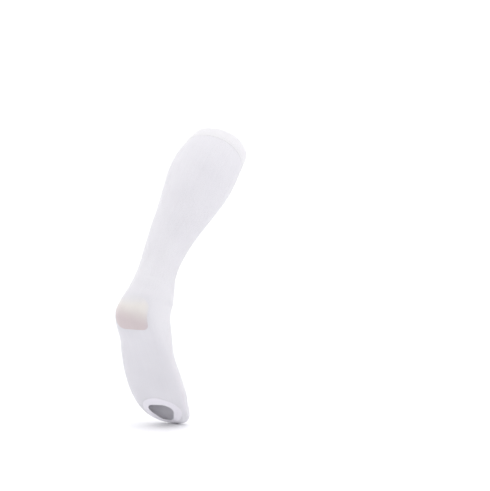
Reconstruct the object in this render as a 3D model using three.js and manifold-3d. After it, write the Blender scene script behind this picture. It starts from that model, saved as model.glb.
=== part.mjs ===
// A knee-high compression stocking with an open window under the toes, filled out as on a leg that steps off
// its toes: the shank leans forward and inward, and the heel is lifted. It is the stocking of a left leg.
// Units are millimetres. The finished part has +Z up, +Y the way the leg steps and +X to the wearer's right,
// and its origin is the middle of the elastic band, where the calf holds the stocking up.
// The sections are written in the frame of a leg that stands upright: forward is counted from the ankle
// joint's axis, up from the floor, and left is the outer side of this leg.

import * as THREE from "three";
import { mergeVertices } from "three/addons/utils/BufferGeometryUtils.js";
import Module from "manifold-3d";

const wasm = await Module();
wasm.setup();

const { degToRad } = THREE.MathUtils;

// The cloth. The band is a doubled elastic welt, and so is the rim of the window. SEAM_GAP parts two pieces.
const CLOTH = 1.2;
const BAND_CLOTH = 2.0;
const RIM_CLOTH = 1.8;
const SEAM_GAP = 0.3;
const BAND_HEIGHT = 24;

// The pose, in degrees: how far the shank leans forward and inward, how far the leg is turned outward about
// its own length, and how far the foot points down from a right angle with the shank.
const LEAN_FORWARD = 42.9;
const LEAN_INWARD = 24.5;
const TURN_OUT = 32.9;
const FOOT_DROP = 6.2;
const ANKLE_HEIGHT = 78;

// The window under the toes and the outer edge of its rim are ovals, turned on the sole by OVAL_TURN degrees,
// and their cuts go OVAL_REACH up from the sole, short of the instep. An oval is drawn out at three rounded
// corners by a share of its size, and the first corner is CORNER_AT degrees round it.
const WINDOW = { forward: 166.5, left: -4, halfLength: 20, halfWidth: 21, corners: 0.11 };
const RIM = { forward: 163, left: -4.5, halfLength: 30, halfWidth: 33, corners: 0 };
const OVAL_TURN = -16;
const OVAL_REACH = 15;
const CORNER_AT = -24;

// The heel pocket is a square with round corners, laid on the heel from a height on its back to a place on
// the sole behind the ankle's axis. Its two corners on the sole are the outer and the inner one, and reach is
// how far its cut goes into the heel.
const POCKET = {
  topUp: 34,
  soleForward: -12,
  halfWidth: 25.5,
  topCorner: 20,
  outerCorner: 16,
  innerCorner: 8,
  reach: 40,
};

// Each row is one section across the leg or the foot, from the mouth to the tip of the toes. It runs from a
// point on the back or the sole to a point on the shin or the instep. half is half the width, widest says
// where along the section it is widest, square is how full the sole's side and the instep's side are (2 is
// an ellipse), left moves the section outward, slant makes the outer side shorter than the inner one, and
// drop is the share of the foot's drop that the section takes.
const COLUMNS = [
  "backForward", "backUp", "frontForward", "frontUp", "half", "widest",
  "squareBack", "squareFront", "left", "slant", "drop",
];
const SECTIONS = {
  mouth:      [-45.0, 397, 46.0, 397, 45.5, 0.5, 2.1, 2.0, -4.0, 0, 0],
  bandFoot:   [-53.0, 373, 47.0, 373, 47.5, 0.5, 2.1, 2.0, -3.0, 0, 0],
  calfHigh:   [-60.5, 341, 46.5, 341, 50.5, 0.5, 2.1, 2.0, -2.0, 0, 0],
  calf:       [-63.5, 308, 43.5, 308, 49.5, 0.5, 2.1, 2.0, -2.0, 0, 0],
  calfLow:    [-59.5, 272, 38.0, 272, 44.0, 0.5, 2.1, 2.0, -0.5, 0, 0],
  shinHigh:   [-52.0, 235, 32.0, 235, 38.5, 0.5, 2.0, 2.0, 2.5, 0, 0],
  shin:       [-46.0, 198, 28.0, 198, 33.5, 0.5, 2.0, 2.0, 5.5, 0, 0],
  shinLow:    [-42.0, 161, 26.0, 161, 29.5, 0.5, 2.0, 2.0, 6.0, 0, 0],
  ankleTop:   [-40.0, 126, 26.0, 129, 28.5, 0.5, 2.0, 2.0, 3.5, 0, 0],
  ankle:      [-43.0, 95, 32.0, 110, 30.0, 0.5, 2.0, 2.0, 0.5, 0, 0.35],
  heelTop:    [-46.5, 63, 38.0, 98, 31.0, 0.48, 2.2, 2.0, -2.5, 0, 0.7],
  heel:       [-48.5, 34, 45.0, 90, 31.0, 0.42, 2.3, 2.0, -3.5, 0, 1],
  heelTurn:   [-41.0, 9, 53.5, 84, 33.5, 0.38, 2.4, 2.0, -3.0, 0, 1],
  heelSole:   [-18.0, 0, 65.0, 77, 34.5, 0.38, 2.5, 2.0, -3.0, 0, 1],
  archBack:   [13.0, 3, 81.0, 67, 36.0, 0.4, 2.5, 2.0, -1.0, 0, 1],
  arch:       [45.0, 7, 100.5, 56, 40.0, 0.42, 2.5, 2.0, 3.0, 0, 1],
  archFront:  [78.0, 5, 121.5, 46, 45.0, 0.44, 2.5, 2.1, 2.5, 0.05, 1],
  ball:       [111.0, 0, 141.0, 38, 47.5, 0.46, 2.6, 2.2, 0.5, 0.12, 1],
  toeRoot:    [140.0, 0, 159.0, 33, 46.0, 0.48, 2.6, 2.3, 1.0, 0.15, 1],
  toes:       [165.0, 2, 175.0, 29, 43.0, 0.5, 2.6, 2.4, 0.5, 0.17, 1],
  toeLine:    [184.0, 5, 186.5, 25, 36.0, 0.5, 2.5, 2.4, -0.5, 0.18, 1],
  toeEnd:     [196.0, 9, 193.5, 21, 25.0, 0.5, 2.3, 2.3, -3.0, 0.18, 1],
  tip:        [200.5, 13, 199.0, 17, 13.0, 0.5, 2.1, 2.1, -4.0, 0.18, 1],
};

// The leg ends and the foot begins at this section, across the bend of the ankle and above the heel.
const ANKLE_LINE = "ankle";

// How finely the solids follow the form.
const SIDES = 36;
const RINGS_PER_SECTION = 2;
const BAND_RINGS = 3;
const ARC_STEPS = 10;
const OVAL_STEPS = 80;

const rows = Object.values(SECTIONS);
const names = Object.keys(SECTIONS);
const lastRow = rows.length - 1;

// A number of the table at a place between its rows, on a smooth curve through them. place 2.5 is halfway
// between the third row and the fourth.
function between(column, place) {
  const row = Math.min(Math.floor(place), lastRow - 1);
  const share = place - row;
  const here = rows[row][column];
  const next = rows[row + 1][column];
  const before = row > 0 ? rows[row - 1][column] : 2 * here - next;
  const after = row + 2 <= lastRow ? rows[row + 2][column] : 2 * next - here;
  const linear = next - before;
  const square = 2 * before - 5 * here + 4 * next - after;
  const cube = 3 * (here - next) + after - before;
  return here + 0.5 * share * (linear + share * (square + share * cube));
}

function sectionAt(place) {
  return Object.fromEntries(COLUMNS.map((name, column) => [name, between(column, place)]));
}

// A point of the foot, turned down about the ankle joint by its share of the drop: x is forward, y is up.
function dropped(forward, up, share) {
  const ankle = new THREE.Vector2(0, ANKLE_HEIGHT);
  return new THREE.Vector2(forward, up).rotateAround(ankle, degToRad(-FOOT_DROP * share));
}

// A point of the leg's form, which is the cloth's outer face. The angle is 0 on the shin and the instep, a
// quarter turn on the outer side and half a turn on the calf and the sole.
function formPoint(place, angle) {
  const s = sectionAt(place);
  const back = dropped(s.backForward, s.backUp, s.drop);
  const across = dropped(s.frontForward, s.frontUp, s.drop).sub(back);
  const cosine = Math.cos(angle);
  const sine = Math.sin(angle);
  const power = 2 / (cosine < 0 ? s.squareBack : s.squareFront);
  const reach = Math.abs(cosine) ** power;
  const share = cosine < 0 ? s.widest * (1 - reach) : s.widest + (1 - s.widest) * reach;
  const outward = s.half * Math.sign(sine) * Math.abs(sine) ** power;
  const downLeg = new THREE.Vector2(across.y, -across.x).normalize();
  const point = back.addScaledVector(across, share).addScaledVector(downLeg, -s.slant * outward);
  return new THREE.Vector3(-(s.left + outward), point.x, point.y);
}

// The form's outward normal, from its slope both ways.
function formNormal(place, angle) {
  const step = 0.02;
  const early = Math.max(place - step, 0);
  const late = Math.min(place + step, lastRow);
  const down = formPoint(late, angle).sub(formPoint(early, angle));
  const round = formPoint(place, angle + step).sub(formPoint(place, angle - step));
  return down.cross(round).normalize();
}

// The place that lies a distance on from another, along the form at an angle.
function placeBeyond(place, angle, distance) {
  const step = 0.01;
  const travelled = formPoint(place + step, angle).distanceTo(formPoint(place, angle));
  return place + (step * distance) / travelled;
}

// A tube of cloth between two places of the form. It starts a gap beyond the first of them. Its outer face
// stands proud of the form, and its inner face lies the cloth's thickness further in. A closed tube ends in
// the tip of the toes.
function clothTube({ from, to, rings, cloth, proud, gap, closed }) {
  const points = [];
  const triangles = [];
  const faceSize = (rings + 1) * SIDES;
  const at = (face, ring, side) => face * faceSize + ring * SIDES + (side % SIDES);
  const quad = (a, b, c, d) => triangles.push(a, c, b, a, d, c);

  for (const offset of [proud, proud - cloth]) {
    for (let ring = 0; ring <= rings; ring++) {
      for (let side = 0; side < SIDES; side++) {
        const angle = (side * 2 * Math.PI) / SIDES;
        const place = ring > 0 ? from + ((to - from) * ring) / rings : placeBeyond(from, angle, gap);
        points.push(formPoint(place, angle).addScaledVector(formNormal(place, angle), offset));
      }
    }
  }
  for (let side = 0; side < SIDES; side++) {
    const next = side + 1;
    for (let ring = 0; ring < rings; ring++) {
      quad(at(0, ring, side), at(0, ring, next), at(0, ring + 1, next), at(0, ring + 1, side));
      quad(at(1, ring, side), at(1, ring + 1, side), at(1, ring + 1, next), at(1, ring, next));
    }
    quad(at(0, 0, side), at(1, 0, side), at(1, 0, next), at(0, 0, next));
    if (!closed) quad(at(0, rings, side), at(0, rings, next), at(1, rings, next), at(1, rings, side));
  }
  if (closed) {
    for (const face of [0, 1]) {
      const ends = points.slice(at(face, rings, 0), at(face, rings, SIDES - 1) + 1);
      const middle = ends.reduce((sum, end) => sum.addScaledVector(end, 1 / SIDES), new THREE.Vector3());
      const tip = points.push(middle) - 1;
      for (let side = 0; side < SIDES; side++) {
        const a = at(face, rings, side);
        const b = at(face, rings, side + 1);
        triangles.push(tip, face ? a : b, face ? b : a);
      }
    }
  }
  const geometry = new THREE.BufferGeometry().setFromPoints(points);
  geometry.setIndex(triangles);
  geometry.computeVertexNormals();
  return geometry;
}

// A closed geometry as a solid that can be cut.
function solid(geometry) {
  const bare = geometry.clone();
  for (const name of ["normal", "uv"]) bare.deleteAttribute(name);
  const merged = mergeVertices(bare, 1e-4);
  return new wasm.Manifold(
    new wasm.Mesh({
      numProp: 3,
      vertProperties: merged.attributes.position.array,
      triVerts: new Uint32Array(merged.index.array),
    }),
  );
}

// A cut solid as a geometry again.
function geometryOf(cut) {
  const made = cut.getMesh();
  const geometry = new THREE.BufferGeometry();
  geometry.setAttribute("position", new THREE.BufferAttribute(made.vertProperties, 3));
  geometry.setIndex(new THREE.BufferAttribute(made.triVerts, 1));
  geometry.computeVertexNormals();
  return geometry;
}

// A prism that cuts an outline out of one side of the foot, reach deep and as far out of it.
function prism(outline, reach) {
  const options = { depth: 2 * reach, bevelEnabled: false, curveSegments: ARC_STEPS };
  return new THREE.ExtrudeGeometry(outline, options).translate(0, 0, -reach);
}

// What cuts an oval out of the sole, wider all round by grow.
function ovalCutter({ forward, left, halfLength, halfWidth, corners }, grow) {
  const edge = [];
  for (let step = 0; step < OVAL_STEPS; step++) {
    const turn = (step * 2 * Math.PI) / OVAL_STEPS;
    const size = 1 + corners * Math.cos(3 * (turn - degToRad(CORNER_AT)));
    const across = (halfWidth + grow) * size * Math.cos(turn);
    const along = (halfLength + grow) * size * Math.sin(turn);
    edge.push(new THREE.Vector2(across, along));
  }
  const cutter = prism(new THREE.Shape(edge), OVAL_REACH);
  cutter.rotateZ(degToRad(OVAL_TURN));
  cutter.translate(-left, forward, -ANKLE_HEIGHT);
  cutter.rotateX(degToRad(-FOOT_DROP));
  cutter.translate(0, 0, ANKLE_HEIGHT);
  return solid(cutter);
}

// What cuts the pocket out of the heel, wider all round by grow.
function pocketCutter(grow) {
  const heel = sectionAt(names.indexOf("heel"));
  const top = dropped(heel.backForward, POCKET.topUp, 1);
  const sole = dropped(POCKET.soleForward, 0, 1);
  const width = POCKET.halfWidth + grow;
  const length = top.distanceTo(sole) / 2 + grow;
  const above = POCKET.topCorner + grow;
  const inner = POCKET.innerCorner + grow;
  const outer = POCKET.outerCorner + grow;
  const square = new THREE.Shape();
  square.absarc(width - inner, length - inner, inner, 0, 0.5 * Math.PI);
  square.absarc(outer - width, length - outer, outer, 0.5 * Math.PI, Math.PI);
  square.absarc(above - width, above - length, above, Math.PI, 1.5 * Math.PI);
  square.absarc(width - above, above - length, above, 1.5 * Math.PI, 2 * Math.PI);
  const cutter = prism(square, POCKET.reach);
  cutter.rotateX(Math.atan2(sole.y - top.y, sole.x - top.x));
  cutter.translate(-heel.left, (top.x + sole.x) / 2, (top.y + sole.y) / 2);
  return solid(cutter);
}

// Where the band ends, and where the leg ends, as places in the table.
const bandRow = names.indexOf("bandFoot");
const bandEnd = (bandRow * BAND_HEIGHT) / (sectionAt(0).backUp - sectionAt(bandRow).backUp);
const legEnd = names.indexOf(ANKLE_LINE);

const topBand = clothTube({
  from: 0,
  to: bandEnd,
  rings: BAND_RINGS,
  cloth: BAND_CLOTH,
  proud: (BAND_CLOTH - CLOTH) / 2,
  gap: 0,
  closed: false,
});
const leg = clothTube({
  from: bandEnd,
  to: legEnd,
  rings: (legEnd - bandRow) * RINGS_PER_SECTION,
  cloth: CLOTH,
  proud: 0,
  gap: SEAM_GAP,
  closed: false,
});

// The wall of the foot. A thicker cloth stands out on both faces alike.
function footWall(cloth) {
  const rings = (lastRow - legEnd) * RINGS_PER_SECTION;
  const proud = (cloth - CLOTH) / 2;
  return solid(clothTube({ from: legEnd, to: lastRow, rings, cloth, proud, gap: SEAM_GAP, closed: true }));
}

const halfGap = SEAM_GAP / 2;
const foot = footWall(CLOTH).subtract(pocketCutter(halfGap)).subtract(ovalCutter(RIM, halfGap));
const heelPocket = footWall(CLOTH).intersect(pocketCutter(-halfGap));
const windowRim = footWall(RIM_CLOTH).intersect(ovalCutter(RIM, -halfGap)).subtract(ovalCutter(WINDOW, 0));

const knit = (color, roughness) => new THREE.MeshStandardMaterial({ color, roughness, metalness: 0 });
const pieces = {
  top_band: [topBand, knit(0xf1f0f6, 0.8)],
  leg: [leg, knit(0xe8e7ee, 0.85)],
  foot: [geometryOf(foot), knit(0xe8e7ee, 0.85)],
  heel_pocket: [geometryOf(heelPocket), knit(0xdccfd1, 0.85)],
  window_rim: [geometryOf(windowRim), knit(0xeeeef4, 0.8)],
};

// The pieces stand upright here, with the middle of the band at the origin.
const upright = new THREE.Group();
const bandMiddle = sectionAt(bandEnd / 2);
upright.position.set(
  bandMiddle.left,
  -(bandMiddle.backForward + bandMiddle.frontForward) / 2,
  -bandMiddle.backUp,
);
for (const [name, [geometry, material]] of Object.entries(pieces)) {
  const mesh = new THREE.Mesh(geometry, material);
  mesh.name = name;
  upright.add(mesh);
}

// The leg is turned into its pose about the band's middle.
const stocking = new THREE.Group();
stocking.rotation.set(degToRad(-LEAN_FORWARD), degToRad(LEAN_INWARD), degToRad(-TURN_OUT), "YXZ");
stocking.add(upright);

export default stocking;
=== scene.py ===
"""A knee-high compression stocking of white knit, in the form it takes on a left leg that steps off its toes.

Every size is in metres. The sections below are those of the part, written in the frame of a leg that stands
upright: forward is counted from the ankle joint's axis, up from the floor, and left is the leg's outer side.
"""

import math

import bpy
import numpy as np
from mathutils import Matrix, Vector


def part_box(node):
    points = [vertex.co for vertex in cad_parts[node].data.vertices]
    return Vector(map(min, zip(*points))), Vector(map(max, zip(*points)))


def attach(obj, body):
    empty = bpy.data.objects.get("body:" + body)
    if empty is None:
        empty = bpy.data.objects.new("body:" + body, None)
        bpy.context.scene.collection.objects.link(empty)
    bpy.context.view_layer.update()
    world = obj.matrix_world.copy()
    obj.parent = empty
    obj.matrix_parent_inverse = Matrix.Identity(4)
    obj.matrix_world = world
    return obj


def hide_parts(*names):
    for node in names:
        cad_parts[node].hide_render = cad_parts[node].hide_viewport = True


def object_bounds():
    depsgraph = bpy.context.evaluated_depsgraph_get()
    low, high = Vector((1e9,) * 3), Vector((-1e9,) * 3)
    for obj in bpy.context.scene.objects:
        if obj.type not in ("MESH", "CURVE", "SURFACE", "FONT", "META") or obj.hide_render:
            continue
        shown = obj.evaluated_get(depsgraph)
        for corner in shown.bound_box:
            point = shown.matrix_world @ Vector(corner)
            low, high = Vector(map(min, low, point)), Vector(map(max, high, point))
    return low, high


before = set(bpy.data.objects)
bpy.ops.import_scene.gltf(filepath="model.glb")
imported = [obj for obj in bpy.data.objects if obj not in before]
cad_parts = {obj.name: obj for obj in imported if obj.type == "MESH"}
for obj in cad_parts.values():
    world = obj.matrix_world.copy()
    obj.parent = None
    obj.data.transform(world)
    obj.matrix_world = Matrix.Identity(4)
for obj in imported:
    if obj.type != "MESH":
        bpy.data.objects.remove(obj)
cad_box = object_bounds()

MM = 0.001

# The pose, in degrees, and the ankle joint that the foot drops about.
LEAN_FORWARD = 42.9
LEAN_INWARD = 24.5
TURN_OUT = 32.9
FOOT_DROP = 6.2
ANKLE_HEIGHT = 0.078

# The band, the window under the toes with its rim, and the sheer heel pocket. An oval is turned on the sole,
# and drawn out by a share of its size at three corners, the first of them CORNER_AT degrees round it.
BAND_HEIGHT = 0.024
WINDOW = {"forward": 0.1665, "left": -0.004, "half_length": 0.020, "half_width": 0.021, "corners": 0.11}
RIM = {"forward": 0.163, "left": -0.0045, "half_length": 0.030, "half_width": 0.033, "corners": 0.0}
OVAL_TURN = -16
OVAL_REACH = 0.015
CORNER_AT = -24
POCKET = {
    "top_up": 0.034,
    "sole_forward": -0.012,
    "half_width": 0.0255,
    "top_corner": 0.020,
    "outer_corner": 0.016,
    "inner_corner": 0.008,
    "reach": 0.040,
}

# One row a section, from the mouth to the tip of the toes: its point on the back or the sole, its point on
# the shin or the instep, half its width, where along it that is, how full its two sides are, how far it is
# moved outward, how much shorter its outer side is, and its share of the foot's drop.
COLUMNS = (
    "back_forward", "back_up", "front_forward", "front_up", "half", "widest",
    "square_back", "square_front", "left", "slant", "drop",
)
SECTIONS = {
    "mouth":      (-0.0450, 0.397, 0.0460, 0.397, 0.0455, 0.50, 2.1, 2.0, -0.0040, 0.00, 0.00),
    "band_foot":  (-0.0530, 0.373, 0.0470, 0.373, 0.0475, 0.50, 2.1, 2.0, -0.0030, 0.00, 0.00),
    "calf_high":  (-0.0605, 0.341, 0.0465, 0.341, 0.0505, 0.50, 2.1, 2.0, -0.0020, 0.00, 0.00),
    "calf":       (-0.0635, 0.308, 0.0435, 0.308, 0.0495, 0.50, 2.1, 2.0, -0.0020, 0.00, 0.00),
    "calf_low":   (-0.0595, 0.272, 0.0380, 0.272, 0.0440, 0.50, 2.1, 2.0, -0.0005, 0.00, 0.00),
    "shin_high":  (-0.0520, 0.235, 0.0320, 0.235, 0.0385, 0.50, 2.0, 2.0, 0.0025, 0.00, 0.00),
    "shin":       (-0.0460, 0.198, 0.0280, 0.198, 0.0335, 0.50, 2.0, 2.0, 0.0055, 0.00, 0.00),
    "shin_low":   (-0.0420, 0.161, 0.0260, 0.161, 0.0295, 0.50, 2.0, 2.0, 0.0060, 0.00, 0.00),
    "ankle_top":  (-0.0400, 0.126, 0.0260, 0.129, 0.0285, 0.50, 2.0, 2.0, 0.0035, 0.00, 0.00),
    "ankle":      (-0.0430, 0.095, 0.0320, 0.110, 0.0300, 0.50, 2.0, 2.0, 0.0005, 0.00, 0.35),
    "heel_top":   (-0.0465, 0.063, 0.0380, 0.098, 0.0310, 0.48, 2.2, 2.0, -0.0025, 0.00, 0.70),
    "heel":       (-0.0485, 0.034, 0.0450, 0.090, 0.0310, 0.42, 2.3, 2.0, -0.0035, 0.00, 1.00),
    "heel_turn":  (-0.0410, 0.009, 0.0535, 0.084, 0.0335, 0.38, 2.4, 2.0, -0.0030, 0.00, 1.00),
    "heel_sole":  (-0.0180, 0.000, 0.0650, 0.077, 0.0345, 0.38, 2.5, 2.0, -0.0030, 0.00, 1.00),
    "arch_back":  (0.0130, 0.003, 0.0810, 0.067, 0.0360, 0.40, 2.5, 2.0, -0.0010, 0.00, 1.00),
    "arch":       (0.0450, 0.007, 0.1005, 0.056, 0.0400, 0.42, 2.5, 2.0, 0.0030, 0.00, 1.00),
    "arch_front": (0.0780, 0.005, 0.1215, 0.046, 0.0450, 0.44, 2.5, 2.1, 0.0025, 0.05, 1.00),
    "ball":       (0.1110, 0.000, 0.1410, 0.038, 0.0475, 0.46, 2.6, 2.2, 0.0005, 0.12, 1.00),
    "toe_root":   (0.1400, 0.000, 0.1590, 0.033, 0.0460, 0.48, 2.6, 2.3, 0.0010, 0.15, 1.00),
    "toes":       (0.1650, 0.002, 0.1750, 0.029, 0.0430, 0.50, 2.6, 2.4, 0.0005, 0.17, 1.00),
    "toe_line":   (0.1840, 0.005, 0.1865, 0.025, 0.0360, 0.50, 2.5, 2.4, -0.0005, 0.18, 1.00),
    "toe_end":    (0.1960, 0.009, 0.1935, 0.021, 0.0250, 0.50, 2.3, 2.3, -0.0030, 0.18, 1.00),
    "tip":        (0.2005, 0.013, 0.1990, 0.017, 0.0130, 0.50, 2.1, 2.1, -0.0040, 0.18, 1.00),
}
TABLE = np.array(list(SECTIONS.values()))
NAMES = list(SECTIONS)
LAST = len(NAMES) - 1
BAND_ROW = NAMES.index("band_foot")
BACK_UP = COLUMNS.index("back_up")
BAND_END = BAND_ROW * BAND_HEIGHT / (TABLE[0][BACK_UP] - TABLE[BAND_ROW][BACK_UP])

# The cloth, and how far the band and the rim stand out from it.
CLOTH = 1.0 * MM
SHEER = 0.7 * MM
BAND_PROUD = 0.3 * MM
BAND_IN = 1.6 * MM
RIM_PROUD = 0.45 * MM
RIM_IN = 1.5 * MM

# The soft troughs round the bend of the ankle, four in front and two behind: place in the table, angle in
# degrees from the shin, half length in degrees, half width in places, slope in places over half the length,
# and depth. RIDGE_AT half widths from each, the cloth rises by a share of the depth.
CREASE_FADE = 1.5
RIDGE = 0.35
RIDGE_AT = 1.9
CREASE_COLUMNS = ("place", "angle", "reach", "width", "slope", "depth")
CREASES = (
    (8.95, 8, 52, 0.085, 0.10, 0.75 * MM),
    (9.45, -14, 60, 0.075, -0.14, 0.95 * MM),
    (9.85, 22, 44, 0.065, 0.16, 0.60 * MM),
    (8.40, -30, 38, 0.090, -0.12, 0.40 * MM),
    (8.75, 168, 30, 0.080, 0.08, 0.30 * MM),
    (9.30, 195, 34, 0.080, -0.10, 0.35 * MM),
)


# The form

def sections(place):
    """The table's numbers at places between its rows, on a smooth curve through them, by name."""
    place = np.asarray(place, float)
    row = np.clip(np.floor(place).astype(int), 0, LAST - 1)
    share = (place - row)[..., None]
    here, after = TABLE[row], TABLE[row + 1]
    before = np.where((row > 0)[..., None], TABLE[np.maximum(row - 1, 0)], 2 * here - after)
    beyond = np.where((row + 2 <= LAST)[..., None], TABLE[np.minimum(row + 2, LAST)], 2 * after - here)
    linear = after - before
    square = 2 * before - 5 * here + 4 * after - beyond
    cube = 3 * (here - after) + beyond - before
    value = here + 0.5 * share * (linear + share * (square + share * cube))
    return dict(zip(COLUMNS, np.moveaxis(value, -1, 0), strict=True))


def turned(forward, up, degrees):
    """A point turned about the ankle joint, toes down for a positive angle."""
    angle = np.radians(-degrees)
    rise = up - ANKLE_HEIGHT
    return (
        forward * np.cos(angle) - rise * np.sin(angle),
        forward * np.sin(angle) + rise * np.cos(angle) + ANKLE_HEIGHT,
    )


def form(place, angle):
    """Points of the leg's form in the upright leg's frame. The angle is 0 on the shin and the instep."""
    s = sections(place)
    back = np.stack(turned(s["back_forward"], s["back_up"], s["drop"] * FOOT_DROP), -1)
    front = np.stack(turned(s["front_forward"], s["front_up"], s["drop"] * FOOT_DROP), -1)
    across = front - back
    cosine, sine = np.cos(angle), np.sin(angle)
    power = 2 / np.where(cosine < 0, s["square_back"], s["square_front"])
    reach = np.abs(cosine) ** power
    widest = s["widest"]
    share = np.where(cosine < 0, widest * (1 - reach), widest + (1 - widest) * reach)
    outward = s["half"] * np.sign(sine) * np.abs(sine) ** power
    length = np.linalg.norm(across, axis=-1)
    down_leg = np.stack([across[..., 1], -across[..., 0]], -1) / length[..., None]
    point = back + across * share[..., None] - down_leg * (s["slant"] * outward)[..., None]
    return np.stack([-(s["left"] + outward), point[..., 0], point[..., 1]], -1)


def form_normal(place, angle):
    """The form's outward normals."""
    step = 0.02
    early, late = np.maximum(place - step, 0), np.minimum(place + step, LAST)
    down = form(late, angle) - form(early, angle)
    round_ = form(place, angle + step) - form(place, angle - step)
    normal = np.cross(down, round_)
    return normal / np.linalg.norm(normal, axis=-1, keepdims=True)


def crease_depth(place, angle):
    """How far the creases pull the cloth in."""
    depth = np.zeros(np.broadcast(place, angle).shape)
    for row in CREASES:
        c = dict(zip(CREASE_COLUMNS, row, strict=True))
        turn = (angle - math.radians(c["angle"]) + np.pi) % (2 * np.pi) - np.pi
        along = turn / math.radians(c["reach"])
        across = (place - c["place"] - c["slope"] * along) / c["width"]
        trough = np.exp(-(across**2)) - RIDGE * np.exp(-((across - RIDGE_AT) ** 2))
        depth += c["depth"] * np.exp(-(along**2) * CREASE_FADE) * trough
    return depth


def cloth_points(place, angle, height=0.0):
    """Points of the worn cloth in the row's frame, height above the form, and their outward normals."""
    normal = form_normal(place, angle)
    lift = np.asarray(height - crease_depth(place, angle))
    return posed(form(place, angle) + normal * lift[..., None]), normal @ POSE.T


def rotation(axis, degrees):
    """A rotation matrix about the X, Y or Z axis."""
    c, s = math.cos(math.radians(degrees)), math.sin(math.radians(degrees))
    i, j = {"X": (1, 2), "Y": (2, 0), "Z": (0, 1)}[axis]
    matrix = np.eye(3)
    matrix[i, i] = matrix[j, j] = c
    matrix[i, j], matrix[j, i] = -s, s
    return matrix


POSE = rotation("Y", LEAN_INWARD) @ rotation("X", -LEAN_FORWARD) @ rotation("Z", -TURN_OUT)
_band = sections(BAND_END / 2)
ORIGIN = np.array([-_band["left"], (_band["back_forward"] + _band["front_forward"]) / 2, _band["back_up"]])


def posed(points):
    """Points of the upright leg's frame, in the row's frame."""
    return (points - ORIGIN) @ POSE.T


# The outlines on the form

def oval_place(place, angle):
    """Where points of the form lie: to the inner side, forward along the sole, and up from it."""
    x, y, z = np.moveaxis(form(place, angle), -1, 0)
    forward, up = turned(y, z, -FOOT_DROP)
    return x, forward, up


def oval_size(oval, turn):
    """How far an oval is drawn out at its three rounded corners, as a share of its plain size."""
    return 1 + oval["corners"] * np.cos(3 * (turn - math.radians(CORNER_AT)))


def oval_value(x, forward, oval):
    """Below 1 inside the oval, and above 1 outside it."""
    c, s = math.cos(math.radians(OVAL_TURN)), math.sin(math.radians(OVAL_TURN))
    dx, dy = x + oval["left"], forward - oval["forward"]
    across, along = (dx * c + dy * s) / oval["half_width"], (dy * c - dx * s) / oval["half_length"]
    return np.hypot(across, along) / oval_size(oval, np.arctan2(along, across))


def oval_edge(oval, turn):
    """Points of an oval's edge on the sole, to the inner side and forward."""
    c, s = math.cos(math.radians(OVAL_TURN)), math.sin(math.radians(OVAL_TURN))
    dx = oval["half_width"] * np.cos(turn) * oval_size(oval, turn)
    dy = oval["half_length"] * np.sin(turn) * oval_size(oval, turn)
    return np.stack([dx * c - dy * s - oval["left"], dx * s + dy * c + oval["forward"]], -1)


_heel = dict(zip(COLUMNS, TABLE[NAMES.index("heel")], strict=True))
_top = np.array(turned(_heel["back_forward"], POCKET["top_up"], FOOT_DROP))
_sole = np.array(turned(POCKET["sole_forward"], 0.0, FOOT_DROP))
POCKET_MIDDLE = (_top + _sole) / 2
POCKET_HALF = np.linalg.norm(_sole - _top) / 2
POCKET_DOWN = (_sole - _top) / (2 * POCKET_HALF)
HEEL_LEFT = _heel["left"]


def pocket_place(place, angle):
    """Where points of the form lie on the pocket: across it, down it, and how deep in the heel."""
    x, y, z = np.moveaxis(form(place, angle), -1, 0)
    dy, dz = y - POCKET_MIDDLE[0], z - POCKET_MIDDLE[1]
    down = dy * POCKET_DOWN[0] + dz * POCKET_DOWN[1]
    deep = dz * POCKET_DOWN[0] - dy * POCKET_DOWN[1]
    return x + HEEL_LEFT, down, deep


def pocket_distance(across, down):
    """How far outside the pocket's rounded square a point lies; below 0 inside it."""
    on_sole = np.where(across < 0, POCKET["outer_corner"], POCKET["inner_corner"])
    corner = np.where(down > 0, on_sole, POCKET["top_corner"])
    qx = np.abs(across) - POCKET["half_width"] + corner
    qy = np.abs(down) - POCKET_HALF + corner
    return np.minimum(np.maximum(qx, qy), 0) + np.hypot(np.maximum(qx, 0), np.maximum(qy, 0)) - corner


# Newton's steps: how many, and how far one may go in places and in radians.
SETTLE_ROUNDS = 12
MOST_PLACE = 0.5
MOST_ANGLE = 0.3


def settle(place, angle, locate, target):
    """Places and angles of the form whose location on an outline's plane is the target, by Newton's steps."""
    step = 1e-4
    for _ in range(SETTLE_ROUNDS):
        here = np.stack(locate(place, angle)[:2], -1)
        by_place = (np.stack(locate(place + step, angle)[:2], -1) - here) / step
        by_angle = (np.stack(locate(place, angle + step)[:2], -1) - here) / step
        miss = target - here
        size = by_place[..., 0] * by_angle[..., 1] - by_place[..., 1] * by_angle[..., 0]
        move_place = (miss[..., 0] * by_angle[..., 1] - miss[..., 1] * by_angle[..., 0]) / size
        move_angle = (by_place[..., 0] * miss[..., 1] - by_place[..., 1] * miss[..., 0]) / size
        place = np.clip(place + np.clip(move_place, -MOST_PLACE, MOST_PLACE), 0, LAST)
        angle = angle + np.clip(move_angle, -MOST_ANGLE, MOST_ANGLE)
    return place, angle


# Meshes

# Edges that turn by more degrees than this are shaded sharp.
SHARP = 60


def make_object(name, points, faces, uvs):
    """A smooth mesh object from points, faces and each face corner's place in the knit."""
    mesh = bpy.data.meshes.new(name)
    mesh.from_pydata([tuple(p) for p in points], [], [tuple(int(i) for i in f) for f in faces])
    layer = mesh.uv_layers.new(name="knit")
    layer.data.foreach_set("uv", np.concatenate([np.asarray(u, float).ravel() for u in uvs]))
    mesh.validate(clean_customdata=False)
    mesh.shade_smooth()
    mesh.set_sharp_from_angle(angle=math.radians(SHARP))
    piece = bpy.data.objects.new(name, mesh)
    bpy.context.scene.collection.objects.link(piece)
    return piece


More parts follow.
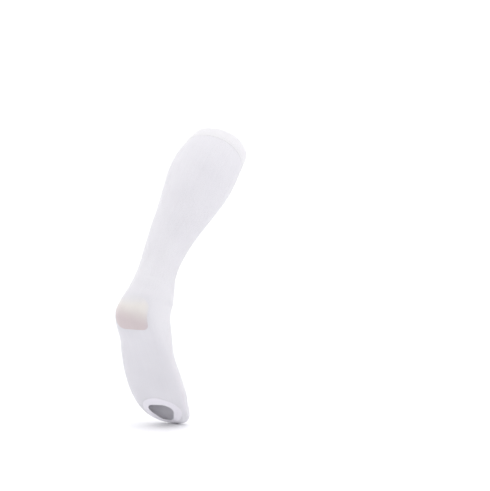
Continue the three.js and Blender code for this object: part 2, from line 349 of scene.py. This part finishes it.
def wall(name, outer, inner, faces, uvs):
    """A closed wall of cloth: its outer face, its inner face turned over, and the cut edges between them."""
    count = len(outer)
    sides = {}
    for face, corner_uvs in zip(faces, uvs, strict=True):
        for k in range(len(face)):
            a, b = face[k], face[(k + 1) % len(face)]
            if (b, a) in sides:
                del sides[b, a]
            else:
                sides[a, b] = (corner_uvs[k], corner_uvs[(k + 1) % len(face)])
    all_faces = list(faces) + [tuple(i + count for i in reversed(f)) for f in faces]
    all_uvs = list(uvs) + [tuple(reversed(u)) for u in uvs]
    for (a, b), (ua, ub) in sides.items():
        all_faces.append((b, a, a + count, b + count))
        all_uvs.append((ub, ua, ua, ub))
    points = np.concatenate([outer, inner])
    used = np.unique(np.concatenate([np.array(f) for f in all_faces]))
    new = np.full(len(points), -1)
    new[used] = np.arange(len(used))
    return make_object(name, points[used], [tuple(new[list(f)]) for f in all_faces], all_uvs)


# The leg, the foot and the heel pocket are one grid of cloth, parted along the outlines. It starts TUCK of a
# place under the band. WALES are the knit's columns round the leg, and COURSE is the height of a row.
AROUND = 168
ALONG = 270
CAP_RINGS = 5
CAP_BULGE = 1.2 * MM
WALES = 400
COURSE = 0.55 * MM
TUCK = 0.10
FINE_PLACES = 2000
SNAP_ROUNDS = 6


def ring_places():
    """Places of the grid's rings, evenly spaced along the leg and the foot."""
    fine = np.linspace(BAND_END - TUCK, LAST, FINE_PLACES)
    middle = (form(fine, np.full_like(fine, 0.5 * np.pi)) + form(fine, np.full_like(fine, 1.5 * np.pi))) / 2
    length = np.concatenate([[0], np.cumsum(np.linalg.norm(np.diff(middle, axis=0), axis=1))])
    wanted = np.linspace(0, length[-1], ALONG + 1)
    return np.interp(wanted, length, fine), wanted


def leg_pieces():
    """The leg and foot, and the heel pocket."""
    ring_place, ring_length = ring_places()
    place, angle = np.meshgrid(ring_place, np.arange(AROUND) * 2 * np.pi / AROUND, indexing="ij")
    place, angle = place.ravel(), angle.ravel()
    quads = []
    for r in range(ALONG):
        for a in range(AROUND):
            here, below, b = r * AROUND, (r + 1) * AROUND, (a + 1) % AROUND
            quads.append((here + a, below + a, below + b, here + b))
    quads = np.array(quads)
    corners = np.array([(0, 0), (1, 0), (1, 1), (0, 1)])
    index = np.arange(len(quads))
    uv = np.stack(
        [
            (index[:, None] % AROUND + corners[None, :, 1]) / AROUND,
            ring_length[index[:, None] // AROUND + corners[None, :, 0]],
        ],
        -1,
    )

    middle_place = place[quads].mean(1)
    middle_angle = angle[quads[:, 0]] + np.pi / AROUND
    x, forward, up = oval_place(middle_place, middle_angle)
    in_rim = (oval_value(x, forward, RIM) < 1) & (np.abs(up) < OVAL_REACH)
    across, down, deep = pocket_place(middle_place, middle_angle)
    in_pocket = (pocket_distance(across, down) < 0) & (np.abs(deep) < POCKET["reach"])

    def edge_of(inside):
        """The points that faces inside and outside share."""
        return np.intersect1d(np.unique(quads[inside]), np.unique(quads[~inside]))

    edge = edge_of(in_rim)
    x, forward, _ = oval_place(place[edge], angle[edge])
    value = oval_value(x, forward, RIM)
    centre = np.array([-RIM["left"], RIM["forward"]])
    target = centre + (np.stack([x, forward], -1) - centre) / value[:, None]
    place[edge], angle[edge] = settle(place[edge], angle[edge], oval_place, target)

    edge = edge_of(in_pocket)
    target = np.stack(pocket_place(place[edge], angle[edge])[:2], -1)
    step = 1e-6
    for _ in range(SNAP_ROUNDS):
        gap = pocket_distance(*target.T)
        slope_x = (pocket_distance(target[:, 0] + step, target[:, 1]) - gap) / step
        slope_y = (pocket_distance(target[:, 0], target[:, 1] + step) - gap) / step
        target = target - gap[:, None] * np.stack([slope_x, slope_y], -1)
    place[edge], angle[edge] = settle(place[edge], angle[edge], pocket_place, target)

    outer, normal = cloth_points(place, angle)
    leg_faces = [tuple(q) for q in quads[~in_rim & ~in_pocket]]
    leg_uvs = [tuple(map(tuple, u)) for u in uv[~in_rim & ~in_pocket]]

    # The toe's end closes in a low dome over the last ring.
    last = np.arange(AROUND) + ALONG * AROUND
    ring, ring_normal = outer[last], normal[last]
    centre = ring.mean(0)
    bulge = posed(form(LAST, np.pi)) - posed(form(LAST - 1, np.pi))
    bulge = bulge / np.linalg.norm(bulge)
    rings, normals = [outer], [normal]
    for k in range(1, CAP_RINGS + 1):
        turn = k / (CAP_RINGS + 1) * np.pi / 2
        rings.append(centre + (ring - centre) * math.cos(turn) + bulge * CAP_BULGE * math.sin(turn))
        mixed = ring_normal * math.cos(turn) + bulge * math.sin(turn)
        normals.append(mixed / np.linalg.norm(mixed, axis=1, keepdims=True))
    rings.append((centre + bulge * CAP_BULGE)[None])
    normals.append(bulge[None])
    outer, normal = np.concatenate(rings), np.concatenate(normals)
    for k in range(CAP_RINGS):
        base = (ALONG + k) * AROUND
        v0, v1 = ring_length[-1] + k * COURSE, ring_length[-1] + (k + 1) * COURSE
        for a in range(AROUND):
            b = (a + 1) % AROUND
            leg_faces.append((base + a, base + AROUND + a, base + AROUND + b, base + b))
            u0, u1 = a / AROUND, (a + 1) / AROUND
            leg_uvs.append(((u0, v0), (u0, v1), (u1, v1), (u1, v0)))
    base = (ALONG + CAP_RINGS) * AROUND
    tip = len(outer) - 1
    for a in range(AROUND):
        leg_faces.append((base + a, tip, base + (a + 1) % AROUND))
        u0, u1 = a / AROUND, (a + 1) / AROUND
        v = ring_length[-1] + CAP_RINGS * COURSE
        leg_uvs.append(((u0, v), ((u0 + u1) / 2, v + COURSE), (u1, v)))

    leg = wall("leg_and_foot_knit", outer, outer - normal * CLOTH, leg_faces, leg_uvs)
    heel_faces = [tuple(q) for q in quads[in_pocket]]
    heel_uvs = [tuple(map(tuple, u)) for u in uv[in_pocket]]
    heel = wall("heel_pocket_knit", outer, outer - normal * SHEER, heel_faces, heel_uvs)
    return leg, heel, (place, angle)


def lofted(name, loops, uv_rows, around_uv):
    """A closed ring of cloth through loops of points that run round it, the last loop joined to the first."""
    count, size = len(loops), len(loops[0])
    points = np.concatenate(loops)
    faces, uvs = [], []
    for k in range(count):
        n = (k + 1) % count
        v0, v1 = uv_rows[k], uv_rows[k + 1]
        for a in range(size):
            b = (a + 1) % size
            faces.append((k * size + a, k * size + b, n * size + b, n * size + a))
            u0, u1 = around_uv[a], around_uv[a + 1]
            uvs.append(((u0, v0), (u1, v0), (u1, v1), (u0, v1)))
    return make_object(name, points, faces, uvs)


def arc(centre, radius, start, end, steps):
    """Points of an arc, as (along, height) pairs."""
    turn = np.radians(np.linspace(start, end, steps))
    return [(centre[0] + radius * math.cos(t), centre[1] + radius * math.sin(t)) for t in turn]


def run_length(profile):
    """The length along a closed profile at each of its points, and back at the first."""
    closed = np.array(list(profile) + [profile[0]])
    return np.concatenate([[0], np.cumsum(np.linalg.norm(np.diff(closed, axis=0), axis=1))])


# The band. Its ribs come in over RIB_FADE below the fold. The sewn line lies BAND_LINE above the band's foot,
# and flattens the ribs by a share. The steps are points along the section: the round of the foot, the outer
# face, the fold and the inner face. The two faces reach up to some folds under the top edge.
BAND_AROUND = 960
BAND_RIBS = 120
RIB_HEIGHT = 0.10 * MM
RIB_FADE = 2 * MM
BAND_LINE = 3.2 * MM
LINE_DEPTH = 0.22 * MM
LINE_WIDTH = 0.5 * MM
LINE_FLATTENS = 0.8
FOOT_ROUND = 0.5 * MM
FOOT_STEPS = 5
OUTER_START = 1.2 * MM
OUTER_FOLDS = 1.4
OUTER_STEPS = 34
FOLD_STEPS = 13
INNER_FOLDS = 1.5
INNER_STEPS = 12
INNER_BEVEL = 0.4 * MM


def band_piece():
    """The elastic band: a folded welt with a round top, fine upright ribs and a sewn line near its foot."""
    fold = (BAND_PROUD + BAND_IN) / 2
    middle = BAND_PROUD - fold
    foot = arc((BAND_HEIGHT - FOOT_ROUND, BAND_PROUD - FOOT_ROUND), FOOT_ROUND, 0, 90, FOOT_STEPS)
    outer_down = np.linspace(BAND_HEIGHT - OUTER_START, fold * OUTER_FOLDS, OUTER_STEPS)
    top = arc((fold, middle), fold, 90, 270, FOLD_STEPS)
    inner_down = np.linspace(fold * INNER_FOLDS, BAND_HEIGHT - INNER_BEVEL, INNER_STEPS)
    outer = [(s, BAND_PROUD) for s in outer_down]
    inner = [(s, -BAND_IN) for s in inner_down]
    profile = foot + outer + top + inner + [(BAND_HEIGHT, -BAND_IN + INNER_BEVEL)]
    angle = np.arange(BAND_AROUND) * 2 * np.pi / BAND_AROUND
    rib = np.cos(angle * BAND_RIBS)
    loops = []
    for down, height in profile:
        line = math.exp(-(((down - (BAND_HEIGHT - BAND_LINE)) / LINE_WIDTH) ** 2))
        shown = 1.0 if height > middle else 0.0
        fade = min(1.0, max(0.0, (down - fold) / RIB_FADE)) * (1 - LINE_FLATTENS * line)
        lift = height + shown * (RIB_HEIGHT * rib * fade - LINE_DEPTH * line)
        place = np.full(BAND_AROUND, BAND_END * down / BAND_HEIGHT)
        normal = form_normal(np.maximum(place, 0), angle)
        loops.append(posed(form(place, angle) + normal * lift[:, None]))
    return lofted("top_band_knit", loops, run_length(profile), np.arange(BAND_AROUND + 1) / BAND_AROUND)


# The window's rim. Its section runs in shares of its width from the opening, and in heights: it rises from
# the cloth at its outer edge, runs level to the roll, and comes back under the cloth. RIM_LEVEL and RIM_BACK
# are from, to and steps. The groove of its stitches lies on the level.
RIM_AROUND = 360
RIM_RISE = ((1.0, 0.0), (0.985, 0.12 * MM), (0.96, 0.3 * MM))
RIM_LEVEL = (0.93, 0.2, 14)
ROLL_STEPS = 15
RIM_BACK = (0.2, 0.97, 8)
RIM_END = (1.0, -0.9 * MM)
GROOVE_AT = 0.8
GROOVE_WIDTH = 0.035
GROOVE_DEPTH = 0.18 * MM


def rim_piece(grid):
    """The window's rim: a doubled edge, sewn down along its outside and rolled round the opening."""
    roll = (RIM_PROUD + RIM_IN) / 2
    middle = RIM_PROUD - roll
    turn = -np.arange(RIM_AROUND) * 2 * np.pi / RIM_AROUND
    inside, outside = oval_edge(WINDOW, turn), oval_edge(RIM, turn)
    width = np.linalg.norm(outside - inside, axis=1)

    place, angle = grid
    x, forward, up = oval_place(place, angle)
    sole = np.abs(up) < OVAL_REACH
    grid_place, grid_angle = place[sole], angle[sole]
    grid_xy = np.stack([x[sole], forward[sole]], -1)

    # Each loop lies at a share of the width past the roll, or on the roll at an angle.
    profile = [*RIM_RISE, *((share, RIM_PROUD) for share in np.linspace(*RIM_LEVEL))]
    profile += [("roll", a) for a in np.linspace(90, 270, ROLL_STEPS)]
    profile += [*((share, -RIM_IN) for share in np.linspace(*RIM_BACK)), RIM_END]
    loops = []
    for key, value in profile:
        if key == "roll":
            distance = np.full(RIM_AROUND, roll * (1 + math.cos(math.radians(value))))
            height = middle + roll * math.sin(math.radians(value))
        else:
            distance = roll + (width - roll) * key
            height = value
            if value == RIM_PROUD:
                height = value - GROOVE_DEPTH * math.exp(-(((key - GROOVE_AT) / GROOVE_WIDTH) ** 2))
        target = inside + (outside - inside) * (distance / width)[:, None]
        nearest = np.array([np.argmin(((grid_xy - t) ** 2).sum(1)) for t in target])
        p, a = settle(grid_place[nearest], grid_angle[nearest], oval_place, target)
        loops.append(cloth_points(p, a, height)[0])
    spans = [np.linalg.norm(b - a, axis=1).mean() for a, b in zip(loops, loops[1:] + loops[:1], strict=True)]
    run = [0.0, *np.cumsum(spans)]
    return lofted("window_rim_knit", loops, run, np.arange(RIM_AROUND + 1) / RIM_AROUND)


# Materials

# The wales round the band and the rim, the height of their courses, the noise's range that is spread from the
# darker to the lighter tone, and how many streaks there are to a wale and to a metre down the leg.
BAND_WALES = 480
RIM_WALES = 300
WELT_COURSE = 0.6 * MM
NOISE_LOW = 0.35
NOISE_HIGH = 0.65
STREAKS_TO_A_WALE = 0.35
STREAKS_TO_A_METRE = 9.0

# How far a stitch leans, the painted shade of the valleys between stitches and its share, how much the
# streaks add to the relief, the relief's depth, and the roughness in the valleys and on the stitches.
STITCH_LEAN = 0.9
VALLEY_SHADE = (0.90, 0.895, 0.91)
VALLEY_SHADE_SHARE = 0.6
STREAK_RELIEF = 0.7
BUMP_DEPTH = 0.25 * MM
ROUGH_VALLEY = 0.86
ROUGH_STITCH = 0.68

# The pocket's rose is its sheer knit's warmer tint, and its darkening towards the sole is painted shade. It
# starts
# ROSE_TOP under its top and is full ROSE_FOOT over its foot, ROSE_PIVOT from its outer side, and lies lower
# towards the inner side. The pocket fades into the white of the leg at its top, from and to a depth under it,
# and a little at its inner side.
ROSE_AND_SHADE = (0.82, 0.75, 0.795)
ROSE_TOP = 0.006
ROSE_FOOT = 0.014
ROSE_SLANT = 0.35
ROSE_PIVOT = 0.015
TOP_WHITE = (0.925, 0.95, 1.03)
TOP_FADE = (0.015, 0.001)
SIDE_WHITE = (0.945, 0.965, 1.015)
SIDE_FADE = 0.009

# The painted shade at the band's foot, a grey, and how far up it goes.
FOOT_SHADE = (0.965, 0.965, 0.965)
FOOT_SHADE_REACH = 0.018


def node(tree, kind, **values):
    """A shader node with its inputs set by name or number."""
    made = tree.nodes.new(kind)
    for key, value in values.items():
        if key in made.inputs:
            made.inputs[key].default_value = value
        else:
            setattr(made, key, value)
    return made


def math_node(tree, operation, first, second=None):
    """A math node on links or numbers, and its output."""
    made = tree.nodes.new("ShaderNodeMath")
    made.operation = operation
    for slot, value in enumerate((first, second)):
        if value is None:
            continue
        if isinstance(value, (int, float)):
            made.inputs[slot].default_value = value
        else:
            tree.links.new(value, made.inputs[slot])
    return made.outputs[0]


def stitches(tree, wales, course, slope):
    """Height of a plain knit's stitches: two strands leaning together in each wale, one pair a course."""
    uv = tree.nodes.new("ShaderNodeUVMap")
    uv.uv_map = "knit"
    parts = tree.nodes.new("ShaderNodeSeparateXYZ")
    tree.links.new(uv.outputs[0], parts.inputs[0])
    wale = math_node(tree, "MULTIPLY", parts.outputs[0], wales)
    row = math_node(tree, "DIVIDE", parts.outputs[1], course)
    side = math_node(tree, "ABSOLUTE", math_node(tree, "SUBTRACT", math_node(tree, "FRACT", wale), 0.5))
    lean = math_node(tree, "ADD", row, math_node(tree, "MULTIPLY", side, slope))
    strand = math_node(tree, "ABSOLUTE", math_node(tree, "SINE", math_node(tree, "MULTIPLY", lean, math.pi)))
    column = math_node(tree, "SINE", math_node(tree, "MULTIPLY", side, 2 * math.pi))
    return math_node(tree, "MULTIPLY", strand, column), parts


def knit_material(name, colour, shade, wales, course, bump, streak, tint=None):
    """White knit: stitches with painted shade between them, soft streaks along the wales, faint cloudiness, a
    soft sheen.
    """
    material = bpy.data.materials.new(name)
    material.use_nodes = True
    tree = material.node_tree
    tree.nodes.clear()
    output = tree.nodes.new("ShaderNodeOutputMaterial")
    cloth = tree.nodes.new("ShaderNodeBsdfPrincipled")
    tree.links.new(cloth.outputs[0], output.inputs[0])
    cloth.inputs["Specular IOR Level"].default_value = 0.3
    cloth.inputs["Sheen Weight"].default_value = 0.15
    cloth.inputs["Sheen Roughness"].default_value = 0.45
    cloth.inputs["Subsurface Weight"].default_value = 0.7
    cloth.inputs["Subsurface Radius"].default_value = (1, 1, 1)
    cloth.inputs["Subsurface Scale"].default_value = 2.5 * MM
    height, parts = stitches(tree, wales, course, STITCH_LEAN)

    # Streaks run along the wales, a few wales wide.
    stretch = tree.nodes.new("ShaderNodeCombineXYZ")
    streaks_round = math_node(tree, "MULTIPLY", parts.outputs[0], wales * STREAKS_TO_A_WALE)
    tree.links.new(streaks_round, stretch.inputs[0])
    streaks_down = math_node(tree, "MULTIPLY", parts.outputs[1], STREAKS_TO_A_METRE)
    tree.links.new(streaks_down, stretch.inputs[1])
    streaks = node(tree, "ShaderNodeTexNoise", Scale=1.0, Detail=3.0, Roughness=0.6)
    tree.links.new(stretch.outputs[0], streaks.inputs["Vector"])

    # The cloth is a little uneven in density, in patches a few centimetres across.
    place = tree.nodes.new("ShaderNodeTexCoord")
    clouds = node(tree, "ShaderNodeTexNoise", Scale=22.0, Detail=3.0, Roughness=0.5)
    tree.links.new(place.outputs["Object"], clouds.inputs["Vector"])
    streaked = math_node(tree, "MULTIPLY", streaks.outputs[0], streak)
    uneven = math_node(tree, "ADD", streaked, clouds.outputs[0])
    spread = node(tree, "ShaderNodeMapRange")
    spread.inputs["From Min"].default_value = NOISE_LOW + NOISE_LOW * streak
    spread.inputs["From Max"].default_value = NOISE_HIGH + NOISE_HIGH * streak
    tree.links.new(uneven, spread.inputs["Value"])
    tone = node(tree, "ShaderNodeMix", data_type="RGBA")
    tone.inputs[6].default_value = (*shade, 1)
    tone.inputs[7].default_value = (*colour, 1)
    tree.links.new(spread.outputs[0], tone.inputs[0])

    # Painted shade: the valleys between the stitches are a touch darker.
    valley_shade = node(tree, "ShaderNodeMix", data_type="RGBA", blend_type="MULTIPLY")
    valley_shade.inputs[7].default_value = (*VALLEY_SHADE, 1)
    depth = math_node(tree, "SUBTRACT", 1.0, height)
    tree.links.new(math_node(tree, "MULTIPLY", depth, VALLEY_SHADE_SHARE), valley_shade.inputs[0])
    tree.links.new(tone.outputs[2], valley_shade.inputs[6])
    colour_out = valley_shade.outputs[2]
    if tint:
        colour_out = tint(tree, colour_out)
    tree.links.new(colour_out, cloth.inputs["Base Color"])

    rough = node(tree, "ShaderNodeMapRange")
    rough.inputs["To Min"].default_value = ROUGH_VALLEY
    rough.inputs["To Max"].default_value = ROUGH_STITCH
    tree.links.new(height, rough.inputs["Value"])
    tree.links.new(rough.outputs[0], cloth.inputs["Roughness"])

    relief = math_node(tree, "ADD", height, math_node(tree, "MULTIPLY", streaks.outputs[0], STREAK_RELIEF))
    raised = node(tree, "ShaderNodeBump", Strength=bump, Distance=BUMP_DEPTH)
    tree.links.new(relief, raised.inputs["Height"])
    tree.links.new(raised.outputs[0], cloth.inputs["Normal"])
    return material


def tinted(tree, colour, value, start, end, tint):
    """The colour, multiplied by a tint that comes in softly as a value goes from start to end."""
    fade = node(tree, "ShaderNodeMapRange", interpolation_type="SMOOTHSTEP")
    fade.inputs["From Min"].default_value = start
    fade.inputs["From Max"].default_value = end
    tree.links.new(value, fade.inputs["Value"])
    mixed = node(tree, "ShaderNodeMix", data_type="RGBA", blend_type="MULTIPLY")
    mixed.inputs[7].default_value = (*tint, 1)
    tree.links.new(fade.outputs[0], mixed.inputs[0])
    tree.links.new(colour, mixed.inputs[6])
    return mixed.outputs[2]


def heel_rose_and_shade(tree, colour):
    """The sheer pocket is rosier towards the sole, darker there as painted shade, and fades into the leg at
    its top and inner side.
    """
    low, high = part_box("heel_pocket")
    place = tree.nodes.new("ShaderNodeTexCoord")
    parts = tree.nodes.new("ShaderNodeSeparateXYZ")
    tree.links.new(place.outputs["Object"], parts.inputs[0])
    across, up = parts.outputs[0], parts.outputs[2]
    slanted = math_node(tree, "ADD", up, math_node(tree, "MULTIPLY", across, ROSE_SLANT))
    lift = ROSE_SLANT * (low[0] + ROSE_PIVOT)
    # The rose comes in towards the sole and darkens it as painted shade.
    colour = tinted(tree, colour, slanted, high[2] + lift - ROSE_TOP, low[2] + lift + ROSE_FOOT, ROSE_AND_SHADE)
    colour = tinted(tree, colour, up, high[2] - TOP_FADE[0], high[2] - TOP_FADE[1], TOP_WHITE)
    return tinted(tree, colour, across, high[0] - SIDE_FADE, high[0], SIDE_WHITE)


def band_foot_shade(tree, colour):
    """Painted shade: the band is a touch greyer towards its foot, where its knit starts."""
    uv = tree.nodes.new("ShaderNodeUVMap")
    uv.uv_map = "knit"
    parts = tree.nodes.new("ShaderNodeSeparateXYZ")
    tree.links.new(uv.outputs[0], parts.inputs[0])
    return tinted(tree, colour, parts.outputs[1], FOOT_SHADE_REACH, 0.0, FOOT_SHADE)


# The pieces

leg, heel, grid = leg_pieces()
band = band_piece()
rim = rim_piece(grid)

# Each piece's material: its lighter and its darker tone, the wales round the piece, the height of a course,
# the strength of the relief and of the streaks, and a tint, which paints shade on the heel and the band.
KNITS = (
    (
        leg, "leg_knit_white", (0.688, 0.679, 0.714), (0.655, 0.645, 0.682),
        WALES, COURSE, 0.35, 1.0, None,
    ),
    (
        heel, "heel_knit_sheer", (0.758, 0.722, 0.690), (0.724, 0.690, 0.662),
        WALES, COURSE, 0.35, 0.8, heel_rose_and_shade,
    ),
    (
        band, "band_knit_ribbed", (0.735, 0.726, 0.748), (0.710, 0.702, 0.724),
        BAND_WALES, WELT_COURSE, 0.35, 0.5, band_foot_shade,
    ),
    (
        rim, "rim_knit_doubled", (0.780, 0.762, 0.815), (0.750, 0.732, 0.785),
        RIM_WALES, WELT_COURSE, 0.4, 0.5, None,
    ),
)
for piece, *knit in KNITS:
    piece.data.materials.append(knit_material(*knit))

# Each piece's nodes in the part, its slot, and the flat size and area of the cloth that shows.
ROWS = (
    (leg, ("leg", "foot"), "leg_knit", (0.26, 0.56), 0.105),
    (heel, ("heel_pocket",), "heel_knit", (0.055, 0.055), 0.0024),
    (band, ("top_band",), "band_knit", (0.26, 0.024), None),
    (rim, ("window_rim",), "rim_knit", (0.060, 0.056), 0.0017),
)
for piece, nodes, slot_name, flat, area in ROWS:
    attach(piece, "root")
    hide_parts(*nodes)

# The floor lies just under the tip of the toes.
FLOOR_SIZE = 40.0
FLOOR_DROP = 0.4 * MM
FLOOR_COLOUR = (0.935, 0.935, 0.955)
mesh = bpy.data.meshes.new("floor")
half = FLOOR_SIZE / 2
level = cad_box[0][2] - FLOOR_DROP
corners = [(-half, -half, level), (half, -half, level), (half, half, level), (-half, half, level)]
mesh.from_pydata(corners, [], [(0, 1, 2, 3)])
floor = bpy.data.objects.new("floor", mesh)
bpy.context.scene.collection.objects.link(floor)
paper = bpy.data.materials.new("pale_floor")
paper.use_nodes = True
shader = paper.node_tree.nodes["Principled BSDF"]
shader.inputs["Base Color"].default_value = (*FLOOR_COLOUR, 1)
shader.inputs["Roughness"].default_value = 0.9
floor.data.materials.append(paper)

# The camera stands 3 m behind the leg and 0.6 m above the floor, and looks a little down.
CAMERA_AT = (0.0460, -2.9945, 0.1973)
CAMERA_PITCH = 6.6
FOCAL_PIXELS = 1875
IMAGE_HEIGHT = 491
SENSOR = 36.0
camera_data = bpy.data.cameras.new("camera")
camera_data.sensor_width = SENSOR
camera_data.lens = FOCAL_PIXELS * SENSOR / IMAGE_HEIGHT
camera = bpy.data.objects.new("camera", camera_data)
camera.location = CAMERA_AT
camera.rotation_euler = (math.radians(90 - CAMERA_PITCH), 0, 0)
bpy.context.scene.collection.objects.link(camera)
bpy.context.scene.camera = camera


def area_light(name, at, size, power, aim):
    """A square soft light that faces a point."""
    data = bpy.data.lights.new(name, "AREA")
    data.size = size
    data.energy = power
    light = bpy.data.objects.new(name, data)
    light.location = at
    towards = np.array(aim) - np.array(at)
    flat = math.hypot(towards[0], towards[1])
    light.rotation_euler = (math.atan2(flat, -towards[2]), 0, math.atan2(-towards[0], towards[1]))
    bpy.context.scene.collection.objects.link(light)


# Each light: its name, place, size and power. All face the middle of the leg.
LIGHTS = (
    ("key", (-2.3, 0.3, 1.75), 1.8, 8.0),
    ("fill", (2.3, -0.8, 1.1), 1.8, 7.5),
    ("top", (0.0, -1.35, 1.95), 1.6, 9.0),
)
AIM = (-0.05, -0.12, -0.18)
WORLD_LIGHT = 1.10
for row in LIGHTS:
    area_light(*row, AIM)

world = bpy.data.worlds.new("studio")
bpy.context.scene.world = world
world.use_nodes = True
world.node_tree.nodes["Background"].inputs[0].default_value = (1, 1, 1, 1)
world.node_tree.nodes["Background"].inputs[1].default_value = WORLD_LIGHT
bpy.context.scene.view_settings.view_transform = "Standard"
